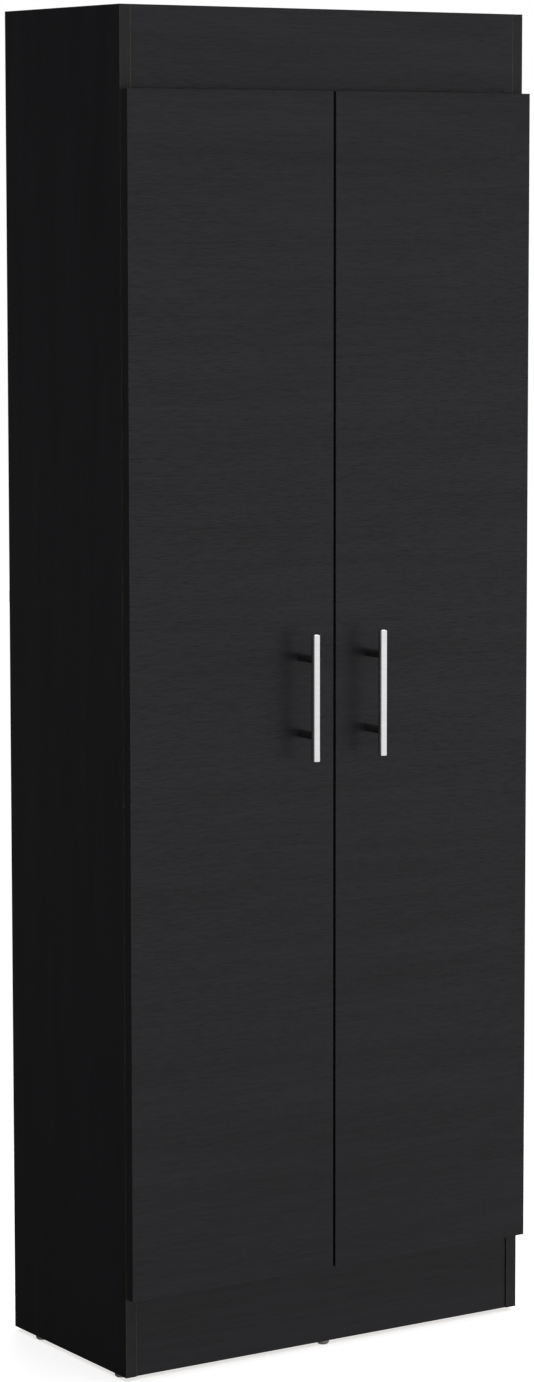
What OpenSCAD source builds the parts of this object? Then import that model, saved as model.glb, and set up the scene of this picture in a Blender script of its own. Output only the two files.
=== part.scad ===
// Tall two-door pantry cabinet of laminated board, on nail-on glides.
// X runs across the front, Y from the handles to the wall, and Z is up from the floor.

/* [Cabinet] */
// Overall width
body_w = 600; // [560:10:700]
// Height of the side panels
panel_h = 1695; // [1600:5:1800]
// Depth of the side panels, without the back
panel_d = 282; // [272:2:400]
// Thickness of the laminated board
board = 15; // [15:0.5:16]
// Thickness of the hardboard back
back_t = 3; // [3:0.5:4]
// Height of the glides under the boards
glide_h = 5; // [4:1:8]
// Diameter of a glide
glide_d = 16; // [14:1:16]

/* [Front] */
// Height of the fascia above the doors
fascia_h = 115; // [100:5:150]
// Height of the plinth under the doors
plinth_h = 100; // [80:5:120]
// How far the plinth stands behind the side panels' front edges
plinth_in = 2; // [0:0.5:6]
// Gap between the doors and the front of the cabinet
door_gap = 2; // [2:0.5:3]
// Gap between the two doors
centre_gap = 4; // [3:0.5:5]
// How far the doors cover the fascia
door_over = 14; // [8:1:20]

/* [Handles] */
// Length of a handle bar
bar_len = 160; // [140:4:220]
// Diameter of a handle bar
bar_d = 11; // [11:1:14]
// Distance between the two posts of a handle
post_pitch = 96; // [96:32:128]
// Diameter of a post
post_d = 10; // [8:1:10]
// Distance from the door's face to the bar's axis
bar_out = 33.5; // [28:0.5:40]
// Distance from the middle of the cabinet to a bar
bar_x = 50.5; // [35:0.5:80]
// Height of the middle of the bars above the floor
bar_z = 847; // [780:1:920]

/* [Shelves] */
// How far the shelves stand behind the front edges
shelf_in = 24; // [20:1:40]
// Gap at each end of an adjustable shelf
shelf_gap = 1; // [0.8:0.1:1.5]
// Diameter of a shelf pin
pin_d = 5; // [5:0.5:6]
// Pitch of the shelf pin holes
pin_pitch = 32; // [32:1:40]
// Distance from the front or rear edge of a side panel to its column of holes
pin_edge = 37; // [37:1:50]

/* [Wall fixing] */
// Distance between the two wall screw holes
wall_pitch = 400; // [300:10:460]
// Diameter of the wall screw holes
wall_hole_d = 6; // [5:0.5:8]
// Height of the wall rail
rail_h = 80; // [60:5:100]

/* [Hidden] */
$fn = 72;
SIDES = [-1, 1];
HINGE_NAMES = ["low", "middle", "high"];

function hand(side, part) = str(side < 0 ? "left_" : "right_", part);
function hinge_node(side, n, part) = hand(side, str(HINGE_NAMES[n], "_hinge_", part));

// Finishes
laminate = [0.12, 0.12, 0.125];
hardboard = [0.36, 0.25, 0.17];
steel = [0.72, 0.72, 0.70];
bright = [0.86, 0.86, 0.85];
dark_metal = [0.10, 0.10, 0.11];
plastic = [0.35, 0.33, 0.31];
beech = [0.76, 0.62, 0.43];
clear = [0.85, 0.87, 0.88];

// Overall levels and faces
joiner_t = 1;
front_reach = door_gap + board + bar_out + bar_d / 2;
rear_reach = panel_d + back_t + joiner_t;
front_y = (front_reach - rear_reach) / 2;
rear_y = front_y + panel_d;
top_z = glide_h + panel_h;
base_top = glide_h + plinth_h;
inner_x = body_w / 2 - board;
door_back_y = front_y - door_gap;
door_face_y = door_back_y - board;

// Doors
door_w = (body_w - centre_gap) / 2;
door_low = base_top + 1;
door_top = top_z - fascia_h + door_over;
door_h = door_top - door_low;

// Shelf levels: five shelves share the inside height, and the third one is fixed
shelves = 5;
inner_low = base_top + board;
inner_h = top_z - board - inner_low;
clear_h = (inner_h - shelves * board) / (shelves + 1);
function shelf_z(n) = inner_low + n * clear_h + (n - 1) * board;
fixed_n = 3;
loose_n = [1, 2, 4, 5];
fixed_z = shelf_z(fixed_n);
loose_d = panel_d - shelf_in - 2;

// Back panels meet a little above the fixed shelf
back_side_in = 2;
back_low = base_top + 2;
back_top = top_z - 2;
joint_z = fixed_z + board + 50;
joiner_h = 14;

// Cam locks: a 15 mm cam, its bolt from the side panel, and a dowel beside it
cam_d = 15;
cam_depth = 12.5;
cam_in = 34;
bolt_bore_d = 8;
bolt_hole_d = 6;
bolt_grip = 11;
dowel_d = 8;
dowel_len = 30;
dowel_in = 12;
cam_y = [60, 225];
dowel_y = 142;
rail_dowel_dz = 28;
fascia_y = front_y + board / 2;
plinth_y = front_y + plinth_in + board / 2;
rail_y = rear_y - board / 2;
fascia_z = top_z - fascia_h / 2;
plinth_z = glide_h + plinth_h / 2;
wall_rail_z = top_z - board - rail_h / 2;

// Each joint is [y, z, turn]: turn says which face the cam is let in from
UP = 0;
DOWN = 180;
REAR = -90;
FRONT = 90;
function panel_cams(z, turn) = [for (y = cam_y) [front_y + y, z + board / 2, turn]];
top_cams = panel_cams(top_z - board, UP);
bottom_cams = panel_cams(base_top, DOWN);
fixed_cams = panel_cams(fixed_z, DOWN);
fascia_cams = [[fascia_y, fascia_z, REAR]];
plinth_cams = [[plinth_y, plinth_z, REAR]];
base_rail_cams = [[rail_y, plinth_z, FRONT]];
wall_rail_cams = [[rail_y, wall_rail_z, FRONT]];
all_cams = concat(top_cams, bottom_cams, fixed_cams, fascia_cams, plinth_cams, base_rail_cams,
    wall_rail_cams);
function panel_dowels(z) = [[front_y + dowel_y, z + board / 2]];
function rail_dowels(y, z) = [for (dz = [-rail_dowel_dz, rail_dowel_dz]) [y, z + dz]];
top_dowels = panel_dowels(top_z - board);
bottom_dowels = panel_dowels(base_top);
fixed_dowels = panel_dowels(fixed_z);
fascia_dowels = rail_dowels(fascia_y, fascia_z);
plinth_dowels = rail_dowels(plinth_y, plinth_z);
base_rail_dowels = rail_dowels(rail_y, plinth_z);
wall_rail_dowels = rail_dowels(rail_y, wall_rail_z);
all_dowels = concat(top_dowels, bottom_dowels, fixed_dowels, fascia_dowels, plinth_dowels,
    base_rail_dowels, wall_rail_dowels);

// Hinges: three on each door
hinge_inset = 100;
hinge_z = [door_low + hinge_inset, door_low + door_h / 2, door_top - hinge_inset];
// Plan of a hinge: u runs in from the door's outer edge, v forward from the cabinet's front edge.
// The long link turns on arm_pin_a and cup_pin_a, the short link on cup_pin_b and, loosely, arm_pin_b.
arm_pin_a = [33.5, -13.5];
cup_pin_a = [9.5, 4.2];
long_knee = [16.2, 6.3];
arm_pin_b = [33.5, 0.5];
cup_pin_b = [11.7, 8];
short_knee = [15.8, 11.4];
short_eye = [33.5, -0.6];
open_eye_d = 4.5;
link_pin_d = 2;
link_w = 3;
eye_d = 4.4;
cup_centre = 20.5;
cup_d = 35;
cup_body_d = cup_d - 0.4;
cup_depth = 12;
cup_wall = 0.8;
cup_flange = 1.2;
cup_ear_d = 11;
cup_cheek_u = 14.5;
cup_cheek_z = 8;
cup_pin_half = 11;
cup_screw_u = cup_centre + 9.5;
cup_screw_dz = 22.5;
plate_screw_v = -pin_edge;
plate_screw_dz = 16;
plate_t = 2;
arm_web_u = 36;
arm_t = 1.2;
arm_half = 6;
arm_back_v = -64;
arm_len = 44;
arm_screw_v = [arm_back_v + 14, arm_back_v + 32];

// Small parts
glide_y = [front_y + 27, front_y + 226];
nail_pitch = 120;
handle_hole_d = 4.5;
handle_screw_d = 3.9;
handle_thread_d = 4;
spigot_d = 5;
spigot_len = 5;
bumper_d = 8;
bumper_t = 1.6;
hair = 0.05;

// Places its children in a hinge's own plan: x is u, y is v, z is up from the hinge's middle
module at_hinge(side, z) {
    translate([side * body_w / 2, front_y, z])
        if (side < 0) mirror([0, 1, 0]) children();
        else rotate([0, 0, 180]) children();
}

// A rod along X that starts inside the cabinet at x and runs outwards
module rod_out(side, x, y, z, d, len) {
    translate([side * x, y, z]) rotate([0, side * 90, 0]) cylinder(d = d, h = len);
}

// Bores that a panel or rail between the sides needs at both of its ends
module end_bores(cams, dowels) {
    for (side = SIDES) {
        for (c = cams) {
            translate([side * (inner_x - cam_in), c[0], c[1]]) rotate([c[2], 0, 0])
                translate([0, 0, board / 2 - cam_depth]) cylinder(d = cam_d, h = cam_depth + 1);
            rod_out(side, inner_x - cam_in, c[0], c[1], bolt_bore_d, cam_in + 1);
        }
        for (d = dowels)
            rod_out(side, inner_x - (dowel_len - dowel_in) - 0.5, d[0], d[1], dowel_d, dowel_len);
    }
}

module panel_between(low, depth_in, depth, h, cams, dowels) {
    difference() {
        translate([-inner_x, front_y + depth_in, low]) cube([2 * inner_x, depth, h]);
        end_bores(cams, dowels);
    }
}

module side_panel(side) {
    color(laminate)
    difference() {
        translate([side < 0 ? -body_w / 2 : inner_x, front_y, glide_h]) cube([board, panel_d, panel_h]);
        for (c = all_cams) rod_out(side, inner_x - 1, c[0], c[1], bolt_hole_d, bolt_grip + 1.5);
        for (d = all_dowels) rod_out(side, inner_x - 1, d[0], d[1], dowel_d, dowel_in + 1.5);
        for (n = loose_n, row = [-1:1], y = [pin_edge, panel_d - pin_edge])
            rod_out(side, inner_x - 1, front_y + y, shelf_z(n) - pin_d / 2 + row * pin_pitch, pin_d, 10);
        for (z = hinge_z, dz = [-plate_screw_dz, plate_screw_dz])
            rod_out(side, inner_x - 1, front_y - plate_screw_v, z + dz, 3, 13);
    }
}

module top_panel() {
    color(laminate) panel_between(top_z - board, board, panel_d - board, board, top_cams, top_dowels);
}

module bottom_panel() {
    color(laminate) panel_between(base_top, 0, panel_d, board, bottom_cams, bottom_dowels);
}

module fixed_shelf() {
    color(laminate)
        panel_between(fixed_z, shelf_in, panel_d - shelf_in, board, fixed_cams, fixed_dowels);
}

module loose_shelf(n) {
    color(laminate) translate([-inner_x + shelf_gap, front_y + shelf_in, shelf_z(n)])
        cube([2 * (inner_x - shelf_gap), loose_d, board]);
}

module fascia() {
    color(laminate) panel_between(top_z - fascia_h, 0, board, fascia_h, fascia_cams, fascia_dowels);
}

module plinth() {
    color(laminate) panel_between(glide_h, plinth_in, board, plinth_h, plinth_cams, plinth_dowels);
}

module rear_base_rail() {
    color(laminate)
        panel_between(glide_h, panel_d - board, board, plinth_h, base_rail_cams, base_rail_dowels);
}

// The two holes through the wall rail and the back panel behind it
module wall_holes() {
    for (side = SIDES)
        translate([side * wall_pitch / 2, rear_y - board - 1, wall_rail_z]) rotate([-90, 0, 0])
            cylinder(d = wall_hole_d, h = board + back_t + 2);
}

module wall_rail() {
    color(laminate)
    difference() {
        panel_between(top_z - board - rail_h, panel_d - board, board, rail_h, wall_rail_cams,
            wall_rail_dowels);
        wall_holes();
    }
}

module back_panel(low, high) {
    color(hardboard)
    difference() {
        translate([-body_w / 2 + back_side_in, rear_y, low])
            cube([body_w - 2 * back_side_in, back_t, high - low]);
        wall_holes();
    }
}

// H-section strip: a web between the panels' edges, a flange inside and one outside
module back_joiner_strip() {
    width = body_w - 2 * back_side_in;
    color(plastic) {
        translate([-width / 2, rear_y, joint_z - joiner_t / 2]) cube([width, back_t, joiner_t]);
        translate([-width / 2, rear_y + back_t, joint_z - joiner_h / 2])
            cube([width, joiner_t, joiner_h]);
        translate([-inner_x + 0.5, rear_y - joiner_t, joint_z - joiner_h / 2])
            cube([2 * inner_x - 1, joiner_t, joiner_h]);
    }
}

// A peg in the side panel and a flat tongue that the shelf lies on
module shelf_pin(side, y, z) {
    tongue = 8;
    rod_out(side, inner_x - tongue, y, z - pin_d / 2, pin_d, tongue + 8.5);
    translate([side * (inner_x - tongue / 2), y, z - 0.75]) cube([tongue, 8, 1.5], center = true);
}

module shelf_pins() {
    color(steel)
        for (n = loose_n, side = SIDES, y = [pin_edge, panel_d - pin_edge])
            shelf_pin(side, front_y + y, shelf_z(n));
}

// A round cam with a cross slot in its face and a mouth for the bolt's head
module cam_lock(side) {
    difference() {
        translate([0, 0, board / 2 - cam_depth]) cylinder(d = cam_d - 0.1, h = cam_depth - 0.1);
        rotate([0, side * 90, 0]) cylinder(d = 7.2, h = cam_d);
        rotate([0, -side * 90, 0]) cylinder(d = 7.2, h = 4);
        for (turn = [0, 90])
            rotate([0, 0, turn]) translate([-4, -0.75, board / 2 - 2.1]) cube([8, 1.5, 3]);
    }
}

module cam_locks() {
    color(steel)
        for (side = SIDES, c = all_cams)
            translate([side * (inner_x - cam_in), c[0], c[1]]) rotate([c[2], 0, 0]) cam_lock(side);
}

// Threaded into the side panel, with a collar at its face and a headed neck that the cam pulls on
module cam_bolts() {
    head = 3;
    neck = 5;
    color(steel)
        for (side = SIDES, c = all_cams) {
            rod_out(side, inner_x - cam_in - head / 2, c[0], c[1], 6.4, head);
            rod_out(side, inner_x - cam_in, c[0], c[1], 4, neck + 2);
            rod_out(side, inner_x - cam_in + neck, c[0], c[1], 6.8, cam_in - neck);
            rod_out(side, inner_x - 1, c[0], c[1], bolt_hole_d - 2 * hair, bolt_grip + 1);
        }
}

module wooden_dowels() {
    color(beech)
        for (side = SIDES, d = all_dowels)
            rod_out(side, inner_x - (dowel_len - dowel_in), d[0], d[1], dowel_d - 2 * hair, dowel_len);
}

// Nails round the edge of the back, and a row into the bottom, the fixed shelf and the top
side_nail_x = inner_x + board / 2;
side_nail_n = floor((back_top - back_low - 40) / nail_pitch);
row_nail_n = floor((inner_x - 20) / nail_pitch);
nail_places = concat(
    [for (side = SIDES, n = [0:side_nail_n]) [side * side_nail_x, back_low + 40 + n * nail_pitch]],
    [for (z = [base_top, fixed_z, top_z - board], n = [-row_nail_n:row_nail_n])
        [n * nail_pitch, z + board / 2]]
);

module back_nails() {
    nail_len = 18;
    head_t = 0.8;
    color(steel)
        for (p = nail_places) translate([p[0], rear_y + back_t, p[1]]) rotate([90, 0, 0]) {
            cylinder(d = 1.6, h = nail_len);
            translate([0, 0, -head_t]) cylinder(d = 5, h = head_t);
        }
}

// A chamfered disc with its own nail
module glide() {
    r = glide_d / 2;
    rotate_extrude() polygon([[0, 0], [r - 2, 0], [r, 2], [r, glide_h], [0, glide_h]]);
    translate([0, 0, glide_h]) cylinder(d1 = 2.4, d2 = 1.2, h = 14);
}

module glides() {
    color(plastic) {
        for (side = SIDES, y = glide_y)
            translate([side * (body_w / 2 - glide_d / 2 - 0.5), y, 0]) glide();
        for (y = [plinth_y, rail_y]) translate([0, y, 0]) glide();
    }
}

module door_bumpers() {
    inset = 30;
    color(clear)
        for (side = SIDES, z = [base_top + board / 2 + 1, top_z - fascia_h + door_over / 2])
            translate([side * inset, front_y, z]) rotate([90, 0, 0]) cylinder(d = bumper_d, h = bumper_t);
}

module door(side) {
    inner = side < 0 ? -centre_gap / 2 - door_w : centre_gap / 2;
    color(laminate)
    difference() {
        translate([inner, door_face_y, door_low]) cube([door_w, board, door_h]);
        for (z = hinge_z) at_hinge(side, z) {
            translate([cup_centre, door_gap - 1, 0]) rotate([-90, 0, 0])
                cylinder(d = cup_d, h = cup_depth + 1.2);
            for (dz = [-cup_screw_dz, cup_screw_dz])
                translate([cup_screw_u, door_gap - 1, dz]) rotate([-90, 0, 0]) cylinder(d = 2.6, h = 11);
        }
        for (dz = [-post_pitch / 2, post_pitch / 2])
            translate([side * bar_x, door_back_y + 1, bar_z + dz]) rotate([90, 0, 0])
                cylinder(d = handle_hole_d, h = board + 2);
    }
}

module handle_bar(side) {
    chamfer = 0.6;
    r = bar_d / 2;
    color(bright)
    difference() {
        translate([side * bar_x, door_face_y - bar_out, bar_z - bar_len / 2])
            rotate_extrude() polygon([[0, 0], [r - chamfer, 0], [r, chamfer], [r, bar_len - chamfer],
                [r - chamfer, bar_len], [0, bar_len]]);
        for (dz = [-post_pitch / 2, post_pitch / 2])
            translate([side * bar_x, door_face_y - bar_out, bar_z + dz]) rotate([-90, 0, 0])
                cylinder(d = spigot_d + 0.1, h = r + 1);
    }
}

// Each post is scribed to the bar, has a spigot in it, and is threaded for the screw from behind
module handle_posts(side) {
    color(dark_metal)
        for (dz = [-post_pitch / 2, post_pitch / 2])
            translate([side * bar_x, door_face_y, bar_z + dz]) {
                difference() {
                    rotate([90, 0, 0]) cylinder(d = post_d, h = bar_out);
                    translate([0, -bar_out, -post_d]) cylinder(d = bar_d, h = 2 * post_d);
                    translate([0, 1, 0]) rotate([90, 0, 0]) cylinder(d = handle_thread_d, h = 13);
                }
                translate([0, -bar_out + bar_d / 2 + 1, 0]) rotate([90, 0, 0])
                    cylinder(d = spigot_d, h = spigot_len + 1);
            }
}

// Pan-head machine screws from the back of the door into the posts
module handle_screws(side) {
    head_d = 8;
    head_t = 2.4;
    color(steel)
        for (dz = [-post_pitch / 2, post_pitch / 2])
            translate([side * bar_x, door_back_y, bar_z + dz]) {
                rotate([90, 0, 0]) cylinder(d = handle_screw_d, h = board + 10);
                difference() {
                    rotate([-90, 0, 0]) cylinder(d = head_d, h = head_t);
                    for (turn = [0, 90])
                        rotate([0, turn, 0]) translate([-2.2, head_t - 1.2, -0.4]) cube([4.4, 2, 0.8]);
                }
            }
}

// A straight strap with round ends in the hinge's plan
module strap(a, b, w) {
    translate(a) circle(d = w);
    translate(b) circle(d = w);
    translate(a) rotate(atan2(b[1] - a[1], b[0] - a[0])) translate([0, -w / 2]) square([norm(b - a), w]);
}

module slab(low, high) {
    translate([0, 0, low]) linear_extrude(high - low) children();
}

// A pressed link: two eyes joined by a strap that is bent at the knee
module link_shape(a, knee, b, a_eye_d, a_hole_d) {
    difference() {
        union() {
            strap(a, knee, link_w);
            strap(knee, b, link_w);
            translate(a) circle(d = a_eye_d);
            translate(b) circle(d = eye_d);
        }
        translate(a) circle(d = a_hole_d);
        translate(b) circle(d = link_pin_d + 2 * hair);
    }
}

// The long link is a pair of cheeks
module long_links(side) {
    color(steel)
        for (z = hinge_z) at_hinge(side, z)
            for (low = [-4.4, 2.8])
                slab(low, low + 1.6)
                    link_shape(arm_pin_a, long_knee, cup_pin_a, eye_d, link_pin_d + 2 * hair);
}

// The short link's rear eye is open on its pin
module short_links(side) {
    color(steel)
        for (z = hinge_z) at_hinge(side, z)
            slab(-2.2, 2.2) link_shape(short_eye, short_knee, cup_pin_b, open_eye_d + 2, open_eye_d);
}

module arm_pins() {
    pin_half = arm_half + 0.4;
    color(steel)
        for (side = SIDES, z = hinge_z, p = [arm_pin_a, arm_pin_b])
            at_hinge(side, z) translate([p[0], p[1], -pin_half]) cylinder(d = link_pin_d, h = 2 * pin_half);
}

module cup_pin_rods() {
    for (p = [cup_pin_a, cup_pin_b])
        translate([p[0], p[1], -cup_pin_half]) cylinder(d = link_pin_d, h = 2 * cup_pin_half);
}

module cup_pins(side) {
    color(steel)
        for (z = hinge_z) at_hinge(side, z) cup_pin_rods();
}

// Plate screwed to the side panel, with a boss that the arm is screwed down on
module hinge_plate(side, n) {
    wing_h = 48;
    wing_w = 16;
    boss_back_v = arm_back_v + 6;
    boss_len = 34;
    boss_half = arm_half - 2;
    color(steel) at_hinge(side, hinge_z[n])
        difference() {
            union() {
                translate([board, plate_screw_v - wing_w / 2, -wing_h / 2])
                    cube([plate_t, wing_w, wing_h]);
                translate([board, boss_back_v - 2, -wing_w / 2]) cube([plate_t, arm_len + 2, wing_w]);
                translate([board, boss_back_v, -boss_half])
                    cube([arm_web_u - arm_t - board, boss_len, 2 * boss_half]);
            }
            for (dz = [-plate_screw_dz, plate_screw_dz])
                translate([board - 1, plate_screw_v, dz]) rotate([0, 90, 0]) cylinder(d = 3.8, h = 5);
            for (v = arm_screw_v)
                translate([arm_web_u - 12, v, 0]) rotate([0, 90, 0]) cylinder(d = 4, h = 12);
        }
}

// Arm: a channel over the plate's boss whose cheeks run forward to carry the two pins
module hinge_arm(side, n) {
    nose_w = 6;
    nose_root = [arm_web_u - nose_w / 2, arm_back_v + arm_len];
    cheek_back_u = board + 4;
    color(steel) at_hinge(side, hinge_z[n])
        difference() {
            union() {
                translate([arm_web_u - arm_t, arm_back_v, -arm_half])
                    cube([arm_t, arm_len, 2 * arm_half]);
                for (low = [-arm_half, arm_half - arm_t]) {
                    translate([cheek_back_u, arm_back_v, low])
                        cube([arm_web_u - cheek_back_u, arm_len - 4, arm_t]);
                    slab(low, low + arm_t) {
                        strap(nose_root, arm_pin_a, nose_w);
                        strap(arm_pin_a, arm_pin_b, nose_w - 2);
                    }
                }
            }
            for (p = [arm_pin_a, arm_pin_b])
                translate([p[0], p[1], -arm_half - 1]) cylinder(d = link_pin_d, h = 2 * arm_half + 2);
            for (v = arm_screw_v)
                translate([arm_web_u - 6, v, 0]) rotate([0, 90, 0]) cylinder(d = 4.2, h = 12);
        }
}

// Inside of a cup: a round well, but for a cheek at each end that the pins are riveted in
module cup_well() {
    difference() {
        translate([cup_centre, door_gap - cup_flange - 1, 0]) rotate([-90, 0, 0])
            cylinder(d = cup_body_d - 2 * cup_wall, h = cup_depth + cup_flange + 1 - cup_wall);
        for (low = [-cup_cheek_z - cup_d / 2, cup_cheek_z])
            translate([0, door_gap, low]) cube([cup_cheek_u, cup_depth, cup_d / 2]);
    }
}

// Pressed cup with a winged flange, let into the back of the door
module hinge_cup(side, n) {
    color(steel) at_hinge(side, hinge_z[n])
        difference() {
            union() {
                translate([cup_centre, door_gap, 0]) rotate([-90, 0, 0])
                    cylinder(d = cup_body_d, h = cup_depth);
                translate([cup_centre, door_gap - cup_flange, 0]) rotate([-90, 0, 0])
                    cylinder(d = cup_d + 2, h = cup_flange);
                for (dz = [-cup_screw_dz, cup_screw_dz])
                    translate([cup_screw_u, door_gap - cup_flange, dz]) rotate([-90, 0, 0])
                        cylinder(d = cup_ear_d, h = cup_flange);
                translate([cup_screw_u - cup_ear_d / 2, door_gap - cup_flange, -cup_screw_dz])
                    cube([cup_ear_d, cup_flange, 2 * cup_screw_dz]);
            }
            cup_well();
            for (dz = [-cup_screw_dz, cup_screw_dz])
                translate([cup_screw_u, door_gap - cup_flange - 1, dz]) rotate([-90, 0, 0])
                    cylinder(d = 3.2, h = 4);
            cup_pin_rods();
        }
}

module plate_screws() {
    color(steel)
        for (side = SIDES, z = hinge_z, dz = [-plate_screw_dz, plate_screw_dz]) at_hinge(side, z)
            translate([board, plate_screw_v, dz]) rotate([0, 90, 0]) {
                translate([0, 0, -11]) cylinder(d = 2.9, h = 11 + plate_t);
                translate([0, 0, plate_t]) cylinder(d = 7, h = 1.6);
            }
}

module arm_screws() {
    color(steel)
        for (side = SIDES, z = hinge_z, v = arm_screw_v) at_hinge(side, z)
            translate([arm_web_u, v, 0]) rotate([0, 90, 0]) {
                translate([0, 0, -9]) cylinder(d = 3.8, h = 9);
                difference() {
                    cylinder(d = 7, h = 1.8);
                    for (turn = [0, 90]) rotate([0, 0, turn]) translate([-2.5, -0.5, 0.8]) cube([5, 1, 2]);
                }
            }
}

module cup_screws(side) {
    color(steel)
        for (z = hinge_z, dz = [-cup_screw_dz, cup_screw_dz]) at_hinge(side, z)
            translate([cup_screw_u, door_gap - cup_flange, dz]) rotate([-90, 0, 0]) {
                cylinder(d = 2.5, h = 11);
                translate([0, 0, -0.5]) cylinder(d = 5.5, h = 0.5);
            }
}

side_panel(-1);  // left_side_panel
side_panel(1);  // right_side_panel
top_panel();
bottom_panel();
fixed_shelf();
for (i = [0:3])
    loose_shelf(loose_n[i]);
fascia();
plinth();
rear_base_rail();
wall_rail();
back_panel(joint_z + joiner_t / 2, back_top);  // upper_back_panel
back_panel(back_low, joint_z - joiner_t / 2);  // lower_back_panel
back_joiner_strip();
shelf_pins();
cam_locks();
cam_bolts();
wooden_dowels();
back_nails();
glides();
door_bumpers();
plate_screws();
arm_screws();
arm_pins();
for (side = SIDES) {
    door(side);
    handle_bar(side);
    handle_posts(side);
    handle_screws(side);
    cup_screws(side);
    cup_pins(side);
    long_links(side);
    short_links(side);
    for (n = [0:2]) {
        hinge_plate(side, n);
        hinge_arm(side, n);
        hinge_cup(side, n);
    }
}
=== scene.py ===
# A tall two-door pantry cabinet of dark wood-print board, standing on a pale studio floor.
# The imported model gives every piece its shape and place; this script gives the pieces their finish.
import math

import bmesh
import bpy
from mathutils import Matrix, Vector


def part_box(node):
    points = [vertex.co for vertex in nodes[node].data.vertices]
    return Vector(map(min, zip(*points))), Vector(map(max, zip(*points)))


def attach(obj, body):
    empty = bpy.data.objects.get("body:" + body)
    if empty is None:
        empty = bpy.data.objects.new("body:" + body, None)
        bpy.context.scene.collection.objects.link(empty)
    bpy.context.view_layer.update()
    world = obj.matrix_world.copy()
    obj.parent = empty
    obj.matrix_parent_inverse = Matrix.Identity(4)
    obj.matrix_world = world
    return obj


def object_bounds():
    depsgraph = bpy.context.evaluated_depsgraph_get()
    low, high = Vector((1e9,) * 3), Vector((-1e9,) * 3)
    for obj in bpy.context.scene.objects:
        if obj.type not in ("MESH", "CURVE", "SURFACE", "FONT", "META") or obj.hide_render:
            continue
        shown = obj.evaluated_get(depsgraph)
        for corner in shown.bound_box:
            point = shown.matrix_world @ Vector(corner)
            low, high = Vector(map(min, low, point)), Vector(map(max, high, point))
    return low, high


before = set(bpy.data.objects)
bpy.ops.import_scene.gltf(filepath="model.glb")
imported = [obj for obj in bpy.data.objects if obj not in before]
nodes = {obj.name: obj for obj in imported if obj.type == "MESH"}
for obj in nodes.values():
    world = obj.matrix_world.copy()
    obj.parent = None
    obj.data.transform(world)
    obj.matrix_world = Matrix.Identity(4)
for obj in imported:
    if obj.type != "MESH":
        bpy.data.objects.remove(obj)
cad_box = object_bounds()


# ---------------------------------------------------------------------------------------------
# Side panels. Two full-height boards of pressed wood chips, faced with melamine paper that is
# printed and embossed as dark wood, its grain running up the board. The sawn rear and bottom
# edges and the drilled holes show the bare chips.

X, Y, Z = 0, 1, 2
MM = 0.001
SIDES = ("left", "right")


class Socket:
    """An output of a shader node. Sums and products on it add Math nodes."""

    def __init__(self, tree, port):
        self.tree = tree
        self.port = port

    def math(self, operation, first, second=0.0):
        return add_node(self.tree, "ShaderNodeMath", {"operation": operation}, {0: first, 1: second})

    def __add__(self, other):
        return self.math("ADD", self, other)

    def __radd__(self, other):
        return self.math("ADD", other, self)

    def __sub__(self, other):
        return self.math("SUBTRACT", self, other)

    def __rsub__(self, other):
        return self.math("SUBTRACT", other, self)

    def __mul__(self, other):
        if isinstance(other, tuple):
            settings = {"operation": "MULTIPLY"}
            return add_node(self.tree, "ShaderNodeVectorMath", settings, {0: self, 1: other})
        return self.math("MULTIPLY", self, other)

    def __rmul__(self, other):
        return self.math("MULTIPLY", other, self)

    def __lt__(self, other):
        return self.math("LESS_THAN", self, other)

    def __abs__(self):
        return self.math("ABSOLUTE", self)


def add_node(tree, kind, settings, values, output=0):
    """Adds a shader node: its settings first, then the values or links of its sockets."""
    node = tree.nodes.new(kind)
    for name, setting in settings.items():
        setattr(node, name, setting)
    for name, value in values.items():
        if isinstance(value, Socket):
            tree.links.new(value.port, node.inputs[name])
        else:
            node.inputs[name].default_value = value
    return Socket(tree, node.outputs[output])


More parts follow.
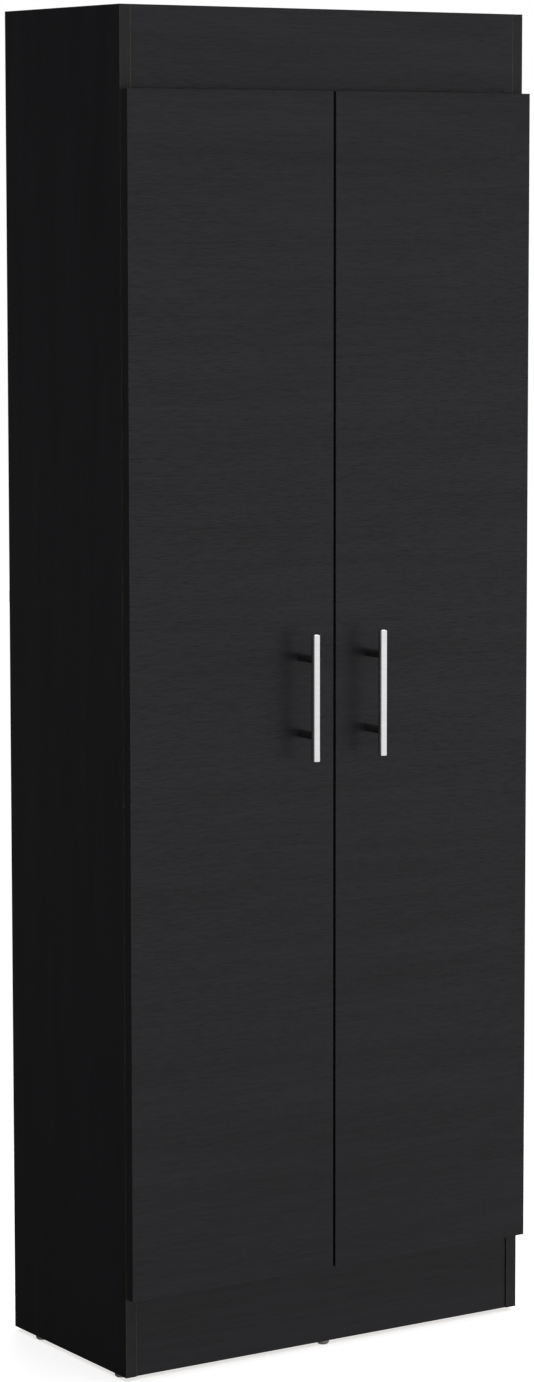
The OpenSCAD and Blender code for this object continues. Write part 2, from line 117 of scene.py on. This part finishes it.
class Finish:
    """A material: its shader, and the point and the facing of the surface in the cabinet's frame."""

    def __init__(self, name, steady):
        self.material = bpy.data.materials.new(name)
        self.material.use_nodes = True
        self.tree = self.material.node_tree
        self.shader = self.tree.nodes["Principled BSDF"]
        for socket, value in steady.items():
            self.shader.inputs[socket].default_value = value
        self.point = add_node(self.tree, "ShaderNodeTexCoord", {}, {}, "Object")
        self.facing = add_node(self.tree, "ShaderNodeTexCoord", {}, {}, "Normal")

    def part(self, vector, axis):
        return add_node(self.tree, "ShaderNodeSeparateXYZ", {}, {"Vector": vector}, axis)

    def noise(self, size, detail=2.0, roughness=0.5):
        """Noise whose grains measure `size` metres along X, Y and Z."""
        place = self.point * tuple(1 / length for length in size)
        values = {"Vector": place, "Scale": 1.0, "Detail": detail, "Roughness": roughness}
        return add_node(self.tree, "ShaderNodeTexNoise", {}, values)

    def cells(self, size, output="Color"):
        """Chips of about `size` metres, each with its own random colour."""
        place = self.point * (1 / size, 1 / size, 1 / size)
        return add_node(self.tree, "ShaderNodeTexVoronoi", {}, {"Vector": place, "Scale": 1.0}, output)

    def ramp(self, value, low, high):
        """0 where value is under low, 1 where it is over high, and a straight slope between."""
        values = {"Value": value, "From Min": low, "From Max": high}
        return add_node(self.tree, "ShaderNodeMapRange", {}, values)

    def ripple(self, axis, pitch):
        """A sine wave along one axis, one cycle to each `pitch` metres."""
        turn = self.part(self.point, axis) * (2 * math.pi / pitch)
        return add_node(self.tree, "ShaderNodeMath", {"operation": "SINE"}, {0: turn})

    def tint(self, share, first, second):
        """The first colour where share is 0, the second where it is 1."""
        values = {0: share, 6: first, 7: second}
        return add_node(self.tree, "ShaderNodeMix", {"data_type": "RGBA"}, values, 2)

    def feed(self, colour=None, roughness=None, height=None, relief=0.0):
        """Links what varies over the surface to the shader; relief is the bump's depth in metres."""
        if colour:
            self.tree.links.new(colour.port, self.shader.inputs["Base Color"])
        if roughness:
            self.tree.links.new(roughness.port, self.shader.inputs["Roughness"])
        if height:
            bump = add_node(self.tree, "ShaderNodeBump", {}, {"Height": height, "Distance": relief})
            self.tree.links.new(bump.port, self.shader.inputs["Normal"])


def along(axis, length, width):
    """The size of a grain that is long on one axis and narrow on the other two."""
    return tuple(length if n == axis else width for n in (X, Y, Z))


CHIP_PALE = (0.50, 0.33, 0.17, 1)
CHIP_DARK = (0.20, 0.11, 0.05, 1)


def bare_chips(finish):
    """The colour of a sawn edge: pressed chips of many shades, with darker flecks."""
    chip = finish.part(finish.cells(0.0026), X)
    fleck = finish.noise((0.0012, 0.0012, 0.0012), 3.0)
    return finish.tint(finish.ramp(chip * 0.6 + fleck * 0.5, 0.2, 0.8), CHIP_DARK, CHIP_PALE)


PRINT_DARK = (0.0093, 0.0093, 0.0112, 1)
PRINT_PALE = (0.0205, 0.0206, 0.0246, 1)


def laminate(name, grain, through):
    """Melamine-faced board. `grain` is the axis of the print, `through` the board's thin axis."""
    finish = Finish(name, {"Specular IOR Level": 0.20})
    figure = finish.noise(along(grain, 0.42, 0.030), 2.0)
    streak = finish.noise(along(grain, 0.120, 0.0032), 3.0, 0.6)
    fine = finish.noise(along(grain, 0.030, 0.0009), 2.0, 0.6)
    pore = finish.ramp(finish.noise(along(grain, 0.014, 0.00045), 1.0), 0.56, 0.70)
    handled = finish.noise((0.09, 0.09, 0.12), 3.0)
    shade = finish.ramp(figure * 0.35 + streak * 0.45 + fine * 0.35 - pore * 0.18, 0.36, 0.78)
    printed = finish.tint(shade, PRINT_DARK, PRINT_PALE)
    cut = abs(finish.part(finish.facing, through)) < 0.35
    colour = finish.tint(cut, printed, bare_chips(finish))
    gloss = 0.27 + streak * 0.08 + pore * 0.10 + handled * 0.05
    finish.feed(colour, gloss + cut * 0.35, fine * 0.35 - pore * 0.8, 0.00006)
    return finish


SHARP_ANGLE = math.radians(40)


def dress(name, finish, ease=0.0):
    """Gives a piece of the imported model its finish, and eases its sharp edges by `ease` metres."""
    piece = nodes[name]
    for slot in piece.material_slots:
        slot.material = finish.material
    if ease:
        bevel = piece.modifiers.new("eased_edges", "BEVEL")
        bevel.width = ease
        bevel.segments = 2
        bevel.limit_method = "ANGLE"
        bevel.angle_limit = SHARP_ANGLE
        bevel.use_clamp_overlap = False
        bevel.harden_normals = True


board_ease = 0.5 * MM
upright_board = laminate("upright_board", Z, X)
for side in SIDES:
    dress(f"{side}_side_panel", upright_board, board_ease)


# ---------------------------------------------------------------------------------------------
# Boards that lie level: the top, the bottom, the fixed shelf and four loose shelves. They are
# the same board with its grain across the cabinet, and cams pull the fixed ones to the sides.

level_board = laminate("level_board", X, Z)
LOOSE_SHELVES = ("shelf_1", "shelf_2", "shelf_3", "shelf_4")
for name in ("top_panel", "bottom_panel", "fixed_shelf") + LOOSE_SHELVES:
    dress(name, level_board, board_ease)


# ---------------------------------------------------------------------------------------------
# Boards that stand across the cabinet: the fascia over the doors, the plinth under them, the
# rail behind the plinth and the wall rail under the top.

standing_board = laminate("standing_board", X, Y)
for name in ("fascia", "plinth", "rear_base_rail", "wall_rail"):
    dress(name, standing_board, board_ease)


# ---------------------------------------------------------------------------------------------
# Doors. Two plain slabs of the same board, with the grain across them.

for side in SIDES:
    dress(f"{side}_door", standing_board, board_ease)


# ---------------------------------------------------------------------------------------------
# Edging. A thin plastic strip in the colour of the board, ironed on along each edge that shows
# and trimmed with a slight round. It covers the chips, and leaves a hairline at the face.

edging_t = 0.45 * MM
edging_proud = 0.04 * MM
edging_round = 0.28 * MM
edging = Finish("edging", {"Specular IOR Level": 0.22})
edging_grain = edging.noise((0.06, 0.0016, 0.06), 3.0, 0.6)
edging_rub = edging.noise((0.02, 0.02, 0.02), 4.0)
edging_shade = edging.ramp(edging_grain, 0.3, 0.75)
edging.feed(
    edging.tint(edging_shade, (0.0097, 0.0098, 0.0108, 1), (0.0192, 0.0196, 0.0214, 1)),
    0.38 + edging_rub * 0.16,
    edging_grain,
    0.00004,
)


def edge_strip(board, body, end, axis, facing, through):
    """A strip on the edge of a board that faces along `axis`; `through` is the board's thin axis."""
    low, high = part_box(board)
    if facing > 0:
        low[axis] = high[axis] - edging_t
        high[axis] += edging_proud
    else:
        high[axis] = low[axis] + edging_t
        low[axis] -= edging_proud
    low[through] -= edging_proud
    high[through] += edging_proud
    mesh = bpy.data.meshes.new(f"{board}_{end}_edging")
    work = bmesh.new()
    bmesh.ops.create_cube(work, size=1.0)
    for corner in work.verts:
        corner.co = Vector((low[n] + (corner.co[n] + 0.5) * (high[n] - low[n]) for n in (X, Y, Z)))
    bmesh.ops.bevel(work, geom=work.edges[:], offset=edging_round, segments=3, profile=0.5,
                    affect="EDGES")
    work.to_mesh(mesh)
    work.free()
    strip = bpy.data.objects.new(mesh.name, mesh)
    bpy.context.scene.collection.objects.link(strip)
    mesh.materials.append(edging.material)
    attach(strip, body)


for side in SIDES:
    edge_strip(f"{side}_side_panel", "carcass", "front", Y, -1, X)
    edge_strip(f"{side}_side_panel", "carcass", "top", Z, 1, X)
    leaf = f"{side}_door_leaf"
    edge_strip(f"{side}_door", leaf, "left", X, -1, Y)
    edge_strip(f"{side}_door", leaf, "right", X, 1, Y)
    edge_strip(f"{side}_door", leaf, "lower", Z, -1, Y)
    edge_strip(f"{side}_door", leaf, "upper", Z, 1, Y)
for board in ("bottom_panel", "fixed_shelf") + LOOSE_SHELVES:
    edge_strip(board, "carcass", "front", Y, -1, Z)
edge_strip("fascia", "carcass", "lower", Z, -1, Y)
edge_strip("fascia", "carcass", "upper", Z, 1, Y)
edge_strip("wall_rail", "carcass", "lower", Z, -1, Y)


# ---------------------------------------------------------------------------------------------
# Back. Two sheets of thin hardboard nailed on from behind, joined by an H-section strip. The
# inner face is coated dark to match the boards; the outer one is bare, with the weave of the
# screen that it was pressed on.

hardboard = Finish("hardboard", {"Specular IOR Level": 0.3})
fibre = hardboard.noise((0.003, 0.003, 0.0015), 5.0, 0.65)
blotch = hardboard.noise((0.11, 0.11, 0.11), 3.0)
screen_pitch = 1.7 * MM
screen = hardboard.ripple(X, screen_pitch) * hardboard.ripple(Z, screen_pitch)
inside = hardboard.part(hardboard.facing, Y) < -0.5
bare_shade = hardboard.ramp(fibre * 0.7 + blotch * 0.5, 0.35, 0.85)
bare = hardboard.tint(bare_shade, (0.12, 0.066, 0.034, 1), (0.26, 0.155, 0.085, 1))
coat_grain = hardboard.noise(along(X, 0.10, 0.002), 3.0)
coat = hardboard.tint(coat_grain, (0.008, 0.008, 0.0085, 1), (0.019, 0.019, 0.020, 1))
hardboard.feed(
    hardboard.tint(inside, bare, coat),
    0.72 - inside * 0.25 + fibre * 0.12,
    (screen * 0.5 + fibre * 0.6) * (1.0 - inside),
    0.00012,
)
for name in ("upper_back_panel", "lower_back_panel"):
    dress(name, hardboard)


def moulded(name, dark, pale, roughness, grain):
    """Moulded plastic: nearly one colour, faintly mottled, with a spark-eroded texture."""
    finish = Finish(name, {"Specular IOR Level": 0.45})
    mottle = finish.noise((0.011, 0.011, 0.011), 3.0)
    texture = finish.noise((grain, grain, grain), 2.0)
    finish.feed(
        finish.tint(finish.ramp(mottle, 0.3, 0.7), dark, pale),
        roughness + mottle * 0.12,
        texture,
        0.00005,
    )
    return finish


strip_dark = (0.010, 0.010, 0.011, 1)
strip_pale = (0.016, 0.016, 0.017, 1)
strip_plastic = moulded("strip_plastic", strip_dark, strip_pale, 0.38, 0.0008)
dress("back_joiner_strip", strip_plastic, 0.25 * MM)


# ---------------------------------------------------------------------------------------------
# Joints of the carcass. Die-cast cams that grip the heads of steel bolts, and beech dowels
# beside them; the nails of the back are zinc-plated.

def plated(name, tone, roughness, scratch_size, relief=0.00002):
    """Plated or cast metal: a slightly uneven tone, fine scratches and duller patches."""
    finish = Finish(name, {"Metallic": 1.0})
    cloud = finish.noise((0.006, 0.006, 0.006), 4.0, 0.6)
    scratch = finish.noise(scratch_size, 2.0)
    dark = tuple(value * 0.80 for value in tone) + (1,)
    finish.feed(
        finish.tint(finish.ramp(cloud, 0.25, 0.75), dark, tone + (1,)),
        roughness + cloud * 0.14 + finish.ramp(scratch, 0.62, 0.75) * 0.15,
        scratch,
        relief,
    )
    return finish


zinc_casting = plated("zinc_casting", (0.50, 0.50, 0.49), 0.42, (0.0006, 0.0006, 0.0006), 0.00005)
dress("cam_locks", zinc_casting, 0.2 * MM)
nickel = plated("nickel", (0.66, 0.64, 0.60), 0.20, (0.012, 0.0004, 0.0004))
dress("cam_bolts", nickel)
zinc = plated("zinc", (0.60, 0.62, 0.63), 0.30, (0.0004, 0.0004, 0.004))
dress("back_nails", zinc)

beech = Finish("beech", {"Specular IOR Level": 0.3})
beech_ray = beech.noise(along(X, 0.008, 0.0007), 3.0)
beech.feed(
    beech.tint(beech.ramp(beech_ray, 0.3, 0.7), (0.42, 0.26, 0.13, 1), (0.62, 0.43, 0.25, 1)),
    0.6 + beech_ray * 0.2,
    beech_ray,
    0.0001,
)
dress("wooden_dowels", beech)


# ---------------------------------------------------------------------------------------------
# Glides. Six brown plastic discs nailed under the boards; the cabinet stands on them.

glide_dark = (0.17, 0.155, 0.145, 1)
glide_pale = (0.25, 0.235, 0.22, 1)
glide_plastic = moulded("glide_plastic", glide_dark, glide_pale, 0.42, 0.0006)
dress("glides", glide_plastic)


# ---------------------------------------------------------------------------------------------
# Shelf pins. Nickel-plated pegs with a flat tongue, four under each loose shelf.

dress("shelf_pins", nickel, 0.12 * MM)


# ---------------------------------------------------------------------------------------------
# Handles. A satin bar on two dark posts, held by screws from behind the door. The bar was
# turned, so its polish runs round it in fine rings.

satin_bar = Finish("satin_bar", {"Metallic": 1.0})
ring = satin_bar.noise((0.02, 0.02, 0.00022), 3.0, 0.7)
ring_band = satin_bar.noise((0.05, 0.05, 0.004), 2.0)
smear = satin_bar.noise((0.012, 0.012, 0.02), 4.0)
polish = satin_bar.ramp(ring * 0.7 + ring_band * 0.3, 0.3, 0.7)
satin_bar.feed(
    satin_bar.tint(polish, (0.49, 0.49, 0.50, 1), (0.60, 0.60, 0.61, 1)),
    0.08 + ring * 0.06 + smear * 0.05,
    ring,
    0.000012,
)
post_lacquer = Finish("post_lacquer", {"Coat Weight": 0.3, "Coat Roughness": 0.25})
speckle = post_lacquer.noise((0.0004, 0.0004, 0.0004), 2.0)
post_rub = post_lacquer.noise((0.006, 0.006, 0.006), 4.0)
post_shade = post_lacquer.ramp(post_rub, 0.3, 0.7)
post_lacquer.feed(
    post_lacquer.tint(post_shade, (0.009, 0.009, 0.010, 1), (0.018, 0.018, 0.019, 1)),
    0.32 + post_rub * 0.15,
    speckle,
    0.00003,
)
for side in SIDES:
    dress(f"{side}_handle_bar", satin_bar)
    dress(f"{side}_handle_posts", post_lacquer)
    dress(f"{side}_handle_screws", zinc, 0.15 * MM)


# ---------------------------------------------------------------------------------------------
# Hinges. Three concealed cup hinges to a door, of pressed and nickel-plated steel: a plate on
# the side panel, an arm on the plate, a cup in the door, and a long and a short link between.

LEVELS = ("low", "middle", "high")
hinge_nickel = plated("hinge_nickel", (0.64, 0.62, 0.58), 0.22, (0.0005, 0.0005, 0.006))
for side in SIDES:
    for level in LEVELS:
        for part in ("plate", "arm", "cup"):
            dress(f"{side}_{level}_hinge_{part}", hinge_nickel, 0.2 * MM)
    for part in ("long_links", "short_links"):
        dress(f"{side}_{part}", hinge_nickel, 0.15 * MM)
    dress(f"{side}_cup_pins", nickel)
    dress(f"{side}_cup_screws", zinc)
dress("arm_pins", nickel)
dress("arm_screws", nickel, 0.12 * MM)
dress("plate_screws", zinc, 0.12 * MM)


# ---------------------------------------------------------------------------------------------
# Door bumpers. Four soft clear dots stuck on the front, where the doors close on them.

bumper = Finish("bumper", {"Transmission Weight": 0.75, "IOR": 1.45})
bumper_haze = bumper.noise((0.002, 0.002, 0.002), 3.0)
bumper.feed(
    bumper.tint(bumper_haze, (0.70, 0.73, 0.74, 1), (0.86, 0.88, 0.88, 1)),
    0.10 + bumper_haze * 0.15,
    bumper_haze,
    0.00004,
)
dress("door_bumpers", bumper, 0.35 * MM)


# ---------------------------------------------------------------------------------------------
# Studio. A pale matt floor that fades out into white. The surroundings are brightest in front and
# to the right at the height of the doors, and leave the left side dim. A soft lamp hangs overhead
# and one stands behind. The floor doesn't show in reflections and throws no light back.

middle = (cad_box[0] + cad_box[1]) / 2
floor_reach = 1.5
floor_solid = 0.30
floor_mesh = bpy.data.meshes.new("floor")
floor_corners = [(-floor_reach, -floor_reach, 0), (floor_reach, -floor_reach, 0),
                 (floor_reach, floor_reach, 0), (-floor_reach, floor_reach, 0)]
floor_mesh.from_pydata(floor_corners, [], [(0, 1, 2, 3)])
floor = bpy.data.objects.new("floor", floor_mesh)
bpy.context.scene.collection.objects.link(floor)
floor_glow = {"Specular IOR Level": 0.1, "Emission Strength": 0.68, "Emission Color": (1, 1, 1, 1)}
floor_paint = Finish("floor_paint", floor_glow)
floor_cloud = floor_paint.noise((0.5, 0.5, 0.5), 3.0)
floor_tone = floor_paint.tint(floor_cloud, (0.70, 0.70, 0.70, 1), (0.74, 0.74, 0.74, 1))
floor_paint.feed(floor_tone, 0.7 + floor_cloud * 0.1)
measure = {"operation": "LENGTH"}
floor_spot = {0: floor_paint.point}
floor_radius = add_node(floor_paint.tree, "ShaderNodeVectorMath", measure, floor_spot, "Value")
floor_fade = floor_paint.ramp(floor_radius, floor_reach, floor_solid)
floor_paint.tree.links.new(floor_fade.port, floor_paint.shader.inputs["Alpha"])
floor_mesh.materials.append(floor_paint.material)
floor.visible_glossy = False
floor.visible_diffuse = False


def soft_lamp(name, place, width, height, power):
    """A flat rectangular lamp that faces the middle of the cabinet."""
    light = bpy.data.lights.new(name, "AREA")
    light.shape = "RECTANGLE"
    light.size = width
    light.size_y = height
    light.energy = power
    lamp = bpy.data.objects.new(name, light)
    bpy.context.scene.collection.objects.link(lamp)
    lamp.location = place
    lamp.rotation_euler = (middle - Vector(place)).to_track_quat("-Z", "Y").to_euler()
    lamp.visible_camera = False


soft_lamp("overhead", (0.4, 0.0, 4.6), 4.0, 4.0, 170)
soft_lamp("behind", (2.6, 4.2, 2.4), 2.6, 2.6, 60)

world = bpy.data.worlds.new("studio")
bpy.context.scene.world = world
world.use_nodes = True
sky = world.node_tree
sky.nodes.clear()
heading = add_node(sky, "ShaderNodeTexCoord", {}, {}, "Generated")
east = add_node(sky, "ShaderNodeSeparateXYZ", {}, {"Vector": heading}, X)
north = add_node(sky, "ShaderNodeSeparateXYZ", {}, {"Vector": heading}, Y)
rise = add_node(sky, "ShaderNodeSeparateXYZ", {}, {"Vector": heading}, Z)
smooth = {"interpolation_type": "SMOOTHSTEP"}
turn_span = {"Value": east * 0.5 - north * 0.866, "From Min": -0.42, "From Max": 0.12,
             "To Min": 0.11, "To Max": 1.42}
rise_span = {"Value": abs(rise + 0.09), "From Min": 0.0, "From Max": 0.33, "To Min": 1.0, "To Max": 0.25}
turn_level = add_node(sky, "ShaderNodeMapRange", smooth, turn_span)
rise_level = add_node(sky, "ShaderNodeMapRange", smooth, rise_span)
glow = turn_level * rise_level
lit = add_node(sky, "ShaderNodeBackground", {}, {"Color": (1, 1, 1, 1), "Strength": glow})
seen = add_node(sky, "ShaderNodeBackground", {}, {"Color": (1, 1, 1, 1), "Strength": 1.0})
direct = add_node(sky, "ShaderNodeLightPath", {}, {}, "Is Camera Ray")
surround = add_node(sky, "ShaderNodeMixShader", {}, {0: direct, 1: lit, 2: seen})
out = sky.nodes.new("ShaderNodeOutputWorld")
sky.links.new(surround.port, out.inputs["Surface"])

bpy.context.scene.view_settings.view_transform = "Standard"


# ---------------------------------------------------------------------------------------------
# Camera. It stands to the left of the cabinet and well above its middle, some five metres
# away, with a long lens.

camera_data = bpy.data.cameras.new("camera")
camera_data.lens = 106.43
camera_data.sensor_width = 36.0
camera_data.shift_x = -0.03245
camera_data.shift_y = -0.0508
camera = bpy.data.objects.new("camera", camera_data)
bpy.context.scene.collection.objects.link(camera)
camera.location = (-2.8378, -4.3805, 1.4901)
camera_yaw = 0.58327
camera_pitch = 0.10764
camera.rotation_euler = (math.pi / 2 - camera_pitch, 0, -camera_yaw)
bpy.context.scene.camera = camera
